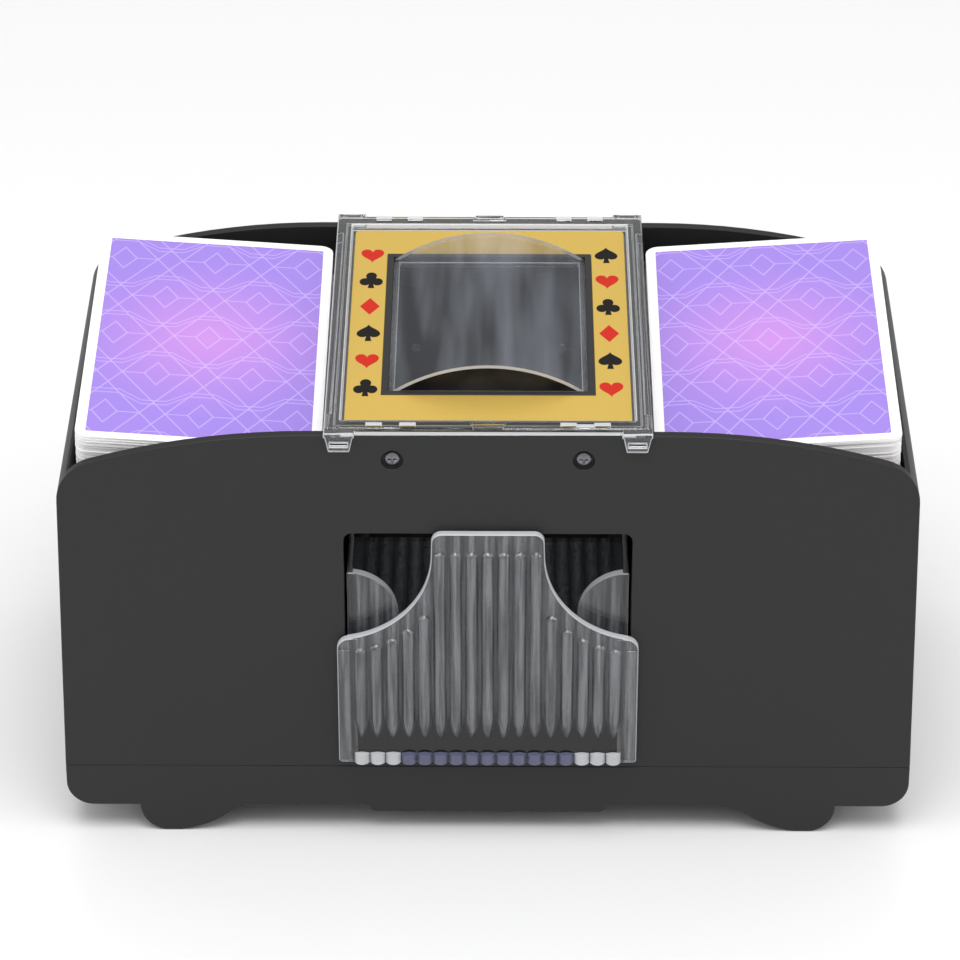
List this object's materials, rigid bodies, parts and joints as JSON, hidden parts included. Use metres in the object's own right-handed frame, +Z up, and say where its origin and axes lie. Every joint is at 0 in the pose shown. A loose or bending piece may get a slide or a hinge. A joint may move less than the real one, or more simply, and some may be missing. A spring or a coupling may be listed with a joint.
{
  "type": "automatic card shuffler",
  "caption": "Card shuffler: arched charcoal housing, card ramps at both sides with rubber feed rollers, clear cover with a gold plate and vaulted window, and a clear ribbed pull-out tray.",
  "frame": {"origin": "centre of the whole object's box in plan, on the plane the feet stand on", "axes": "X across the width, -Y out of the front where the tray slides out, +Z up"},
  "size_m": [0.2032, 0.1112, 0.1193],
  "materials": {
    "housing_abs": "fine spark-eroded matte",
    "inner_abs": "matte",
    "foot_rubber": "matte",
    "bronze": "turned",
    "bright_steel": "ground",
    "motor_steel": "zinc plated",
    "motor_plastic": "moulded",
    "cell_jacket": "gloss sleeve",
    "contact_nickel": "nickel plated",
    "screw_steel": "nickel plated",
    "button_plastic": "satin",
    "hub_plastic": "moulded",
    "tyre_rubber": "ground",
    "gear_acetal": "moulded",
    "pinion_brass": "hobbed",
    "clear_styrene": "clear polished",
    "gold_aluminium": "satin anodised",
    "frame_black": "satin",
    "smoked_styrene": "smoked clear, polished",
    "card_stock": "white stock with a lavender printed back"
  },
  "bodies": {
    "housing": {"upper_housing": "housing_abs", "base_shell": "housing_abs", "sole_pads": "foot_rubber", "left_card_ramp": "inner_abs", "right_card_ramp": "inner_abs", "gate_frame": "inner_abs", "gear_plate": "inner_abs", "shaft_bushes": "bronze", "gear_axles": "bright_steel", "left_tray_rail": "inner_abs", "right_tray_rail": "inner_abs", "motor_cradle": "inner_abs", "motor_can": "motor_steel", "motor_end_bell": "motor_plastic", "motor_clamp": "motor_steel", "battery_holder": "inner_abs", "battery_cells": "cell_jacket", "battery_contacts": "contact_nickel", "switch_block": "inner_abs", "panel_screws": "screw_steel", "base_screws": "screw_steel"},
    "battery_lid": {"battery_door": "housing_abs"},
    "button": {"push_button": "button_plastic"},
    "right_roller": {"right_roller_shaft": "bright_steel", "right_roller_hubs": "hub_plastic", "right_roller_tyres": "tyre_rubber", "right_roller_gear": "gear_acetal"},
    "left_roller": {"left_roller_shaft": "bright_steel", "left_roller_hubs": "hub_plastic", "left_roller_tyres": "tyre_rubber", "left_roller_gear": "gear_acetal"},
    "right_idler": {"right_idler_gear": "gear_acetal"},
    "left_idler": {"left_idler_gear": "gear_acetal"},
    "reduction": {"reduction_gear": "gear_acetal"},
    "motor_rotor": {"motor_shaft": "bright_steel", "motor_pinion": "pinion_brass"},
    "tray": {"card_tray": "clear_styrene"},
    "cover": {"clear_cover": "clear_styrene", "gold_plate": "gold_aluminium", "window_frame": "frame_black", "vault_window": "smoked_styrene"},
    "left_cards": {"left_deck": "card_stock"},
    "right_cards": {"right_deck": "card_stock"}
  },
  "joints": [
    {"name": "right_roller_spin", "type": "hinge", "parent": "housing", "child": "right_roller", "pos_m": [0.049, 0, 0.0799], "axis": [0, -1, 0], "continuous": true},
    {"name": "left_roller_spin", "type": "hinge", "parent": "housing", "child": "left_roller", "pos_m": [-0.049, 0, 0.0799], "axis": [0, -1, 0], "continuous": true},
    {"name": "right_idler_spin", "type": "hinge", "parent": "housing", "child": "right_idler", "pos_m": [0.0185, 0, 0.0799], "axis": [0, -1, 0], "continuous": true},
    {"name": "left_idler_spin", "type": "hinge", "parent": "housing", "child": "left_idler", "pos_m": [-0.0185, 0, 0.0799], "axis": [0, -1, 0], "continuous": true},
    {"name": "reduction_spin", "type": "hinge", "parent": "housing", "child": "reduction", "pos_m": [0.057, 0, 0.0649], "axis": [0, -1, 0], "continuous": true},
    {"name": "motor_spin", "type": "hinge", "parent": "housing", "child": "motor_rotor", "pos_m": [0.06333, 0, 0.04751], "axis": [0, -1, 0], "continuous": true},
    {"name": "tray_slide", "type": "slide", "parent": "housing", "child": "tray", "axis": [0, -1, 0], "range_m": [0, 0.085]},
    {"name": "cover_lift", "type": "slide", "parent": "housing", "child": "cover", "axis": [0, 0, 1], "range_m": [0, 0.04]},
    {"name": "button_press", "type": "slide", "parent": "housing", "child": "button", "axis": [0, -1, 0], "range_m": [0, 0.0015], "stiffness_N_per_m": 600, "springref_m": -0.0008},
    {"name": "battery_lid_release", "type": "slide", "parent": "housing", "child": "battery_lid", "axis": [0, 0, -1], "range_m": [0, 0.02]},
    {"name": "left_cards_lift", "type": "slide", "parent": "housing", "child": "left_cards", "axis": [0, 0, 1], "range_m": [0, 0.05]},
    {"name": "right_cards_lift", "type": "slide", "parent": "housing", "child": "right_cards", "axis": [0, 0, 1], "range_m": [0, 0.05]}
  ],
  "couplings": [
    {"joint": "left_roller_spin", "follows": "right_roller_spin", "ratio": -1},
    {"joint": "right_idler_spin", "follows": "right_roller_spin", "ratio": -0.64865},
    {"joint": "left_idler_spin", "follows": "right_roller_spin", "ratio": 0.64865},
    {"joint": "reduction_spin", "follows": "right_roller_spin", "ratio": -2.4},
    {"joint": "motor_spin", "follows": "right_roller_spin", "ratio": 7.4667}
  ]
}
